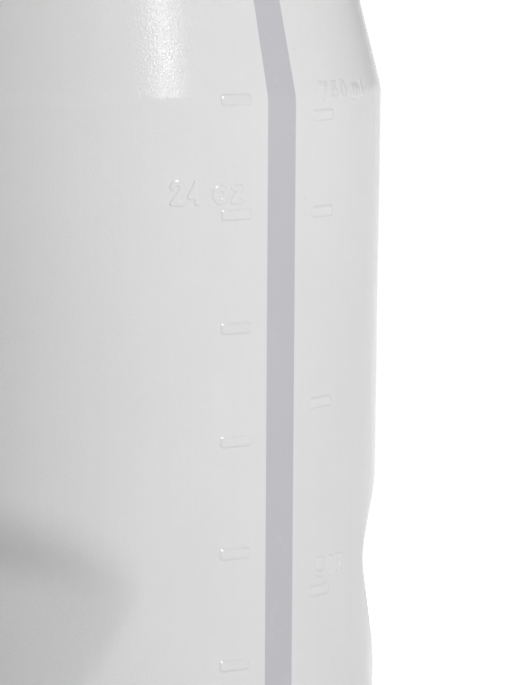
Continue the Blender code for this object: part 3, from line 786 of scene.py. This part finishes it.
def make_floor():
    """Pale floor that glows to white away from the object, like a lit studio sweep."""
    mesh = bmesh.new()
    bmesh.ops.create_circle(mesh, cap_ends=True, segments=96, radius=30.0)
    made, tree, shader = new_material("studio_floor")
    shader.inputs["Roughness"].default_value = 0.9
    shader.inputs["Specular IOR Level"].default_value = 0.1
    coordinates = node(tree, "ShaderNodeTexCoord")
    length = node(tree, "ShaderNodeVectorMath", operation="LENGTH")
    tree.links.new(coordinates.outputs["Object"], length.inputs[0])
    ring = ranged(tree, length.outputs["Value"], FLOOR_DIM_RADIUS, FLOOR_WHITE_RADIUS,
                  0.0, FLOOR_GLOW)
    behind = node(tree, "ShaderNodeVectorMath", operation="DOT_PRODUCT")
    tree.links.new(coordinates.outputs["Object"], behind.inputs[0])
    behind.inputs[1].default_value = toward(CAMERA_AZIMUTH + 180.0, 0.0)
    side = ranged(tree, behind.outputs["Value"], -0.4, 0.5, FLOOR_FRONT, 1.0)
    far = ranged(tree, length.outputs["Value"], *FLOOR_FAR_RADII, 0.0, 1.0)
    either = node(tree, "ShaderNodeMath", operation="MAXIMUM")
    tree.links.new(side, either.inputs[0])
    tree.links.new(far, either.inputs[1])
    glow = multiplied(tree, ring, either.outputs["Value"])
    shader.inputs["Base Color"].default_value = (*FLOOR_COLOUR, 1.0)
    shader.inputs["Emission Color"].default_value = (1.0, 1.0, 1.0, 1.0)
    tree.links.new(glow, shader.inputs["Emission Strength"])
    floor = object_from("studio_floor", mesh, made)
    floor.location.z = -0.2 * MM


def toward(azimuth, elevation):
    """Direction from the bottle; azimuth 0 is -Y, 90 is +X, elevation is above the horizon."""
    a = math.radians(azimuth)
    e = math.radians(elevation)
    return np.array((math.sin(a) * math.cos(e), -math.cos(a) * math.cos(e), math.sin(e)))


def soft_box(name, azimuth, elevation, distance, width, height, power):
    """Rectangular area light aimed at the bottle's shoulder."""
    aim = np.array((0.0, 0.0, CREASE_Z))
    light = bpy.data.lights.new(name, "AREA")
    light.shape = "RECTANGLE"
    light.size = width
    light.size_y = height
    light.energy = power
    item = bpy.data.objects.new(name, light)
    away = toward(azimuth, elevation)
    item.location = aim + away * distance
    item.rotation_euler = aimed(-away)
    bpy.context.scene.collection.objects.link(item)
    return item


def aimed(direction):
    return Vector(direction).to_track_quat("-Z", "Y").to_euler()


def make_world():
    """Dim room with a white band round the horizon."""
    world = bpy.data.worlds.new("studio")
    bpy.context.scene.world = world
    world.use_nodes = True
    tree = world.node_tree
    background = tree.nodes["Background"]
    coordinates = node(tree, "ShaderNodeTexCoord")
    split = node(tree, "ShaderNodeSeparateXYZ")
    tree.links.new(coordinates.outputs["Generated"], split.inputs["Vector"])
    background.inputs["Color"].default_value = (1.0, 1.0, 1.0, 1.0)
    rim = ranged(tree, split.outputs["Z"], 0.0, 0.06, HORIZON_GLOW, WORLD_LEVEL)
    tree.links.new(rim, background.inputs["Strength"])


def make_lights():
    for name, azimuth, *setting in SOFT_BOXES:
        soft_box(name, CAMERA_AZIMUTH + azimuth, *setting)


def make_camera():
    camera = bpy.data.cameras.new("photo_camera")
    camera.lens = LENS
    item = bpy.data.objects.new("photo_camera", camera)
    place = toward(CAMERA_AZIMUTH, 0.0) * CAMERA_DISTANCE
    item.location = (place[0], place[1], CREASE_Z + CAMERA_ABOVE_CREASE)
    look = toward(180.0 + CAMERA_AZIMUTH - CAMERA_YAW, -CAMERA_PITCH)
    item.rotation_euler = aimed(look)
    bpy.context.scene.collection.objects.link(item)
    bpy.context.scene.camera = item


# ---------------------------------------------------------------- assembly

def ride_all(pieces, body):
    for piece in pieces:
        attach(piece, body)


def dress_node(name, finish):
    """Give a CAD node that stays a better material."""
    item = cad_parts[name]
    item.data.materials.clear()
    item.data.materials.append(finish)


def main():
    bpy.context.scene.view_settings.view_transform = "Standard"
    white = polyethylene("white_polyethylene", (0.70, 0.70, 0.70), 0.13, 0.045)
    raised = polyethylene("raised_polyethylene", (0.70, 0.70, 0.70), 0.20, 0.5)
    grey = polyethylene("grey_strip_polyethylene", (0.505, 0.50, 0.53), 0.25, 0.1, dust=0.2)
    collar_grey = polypropylene("grey_polypropylene", (0.20, 0.205, 0.215), 0.42)
    natural = polypropylene("natural_polypropylene", (0.66, 0.67, 0.65), 0.38, 0.12)
    blue = polypropylene("blue_polypropylene", (0.05, 0.16, 0.42), 0.35, 0.12)
    acetal = polypropylene("white_acetal", (0.78, 0.78, 0.75), 0.22, 0.05)
    red_rubber = rubber("red_brown_rubber", (0.33, 0.085, 0.045), 0.45)
    black_rubber = rubber("black_seal_rubber", (0.03, 0.03, 0.032), 0.55)
    stainless = steel("stainless_steel", (0.62, 0.62, 0.63), 0.16)

    shell = make_shell(white)
    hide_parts("bottle_body")
    thread = helical_ridge("neck_thread", NECK_RADIUS, True, NECK_THREAD_Z, NECK_THREAD_TURNS,
                           0.0, white)
    ride_all([shell, thread, *make_scales(raised)], "bottle")
    strip = make_strip(grey)
    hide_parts("sight_strip")
    ride_all([strip], "bottle")

    teat = make_teat(red_rubber)
    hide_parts("teat")
    ride_all([teat], "closure")
    collar = make_collar(collar_grey)
    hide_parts("screw_collar")
    start = NECK_THREAD_Z - THREAD_OFFSET + PITCH * COLLAR_THREAD_START / 360.0
    collar_thread = helical_ridge("collar_thread", COLLAR_BORE, False, start,
                                  COLLAR_THREAD_TURNS, COLLAR_THREAD_START, collar_grey)
    ride_all([collar, collar_thread], "collar")

    for name, finish in (("neck_gasket", black_rubber), ("sleeve_o_ring", black_rubber),
                         ("valve_body", natural), ("ball_cage", natural),
                         ("vent_retainer", natural), ("flow_sleeve", blue),
                         ("valve_ball", acetal), ("vent_ball", stainless)):
        dress_node(name, finish)

    make_floor()
    make_world()
    make_lights()
    make_camera()


main()
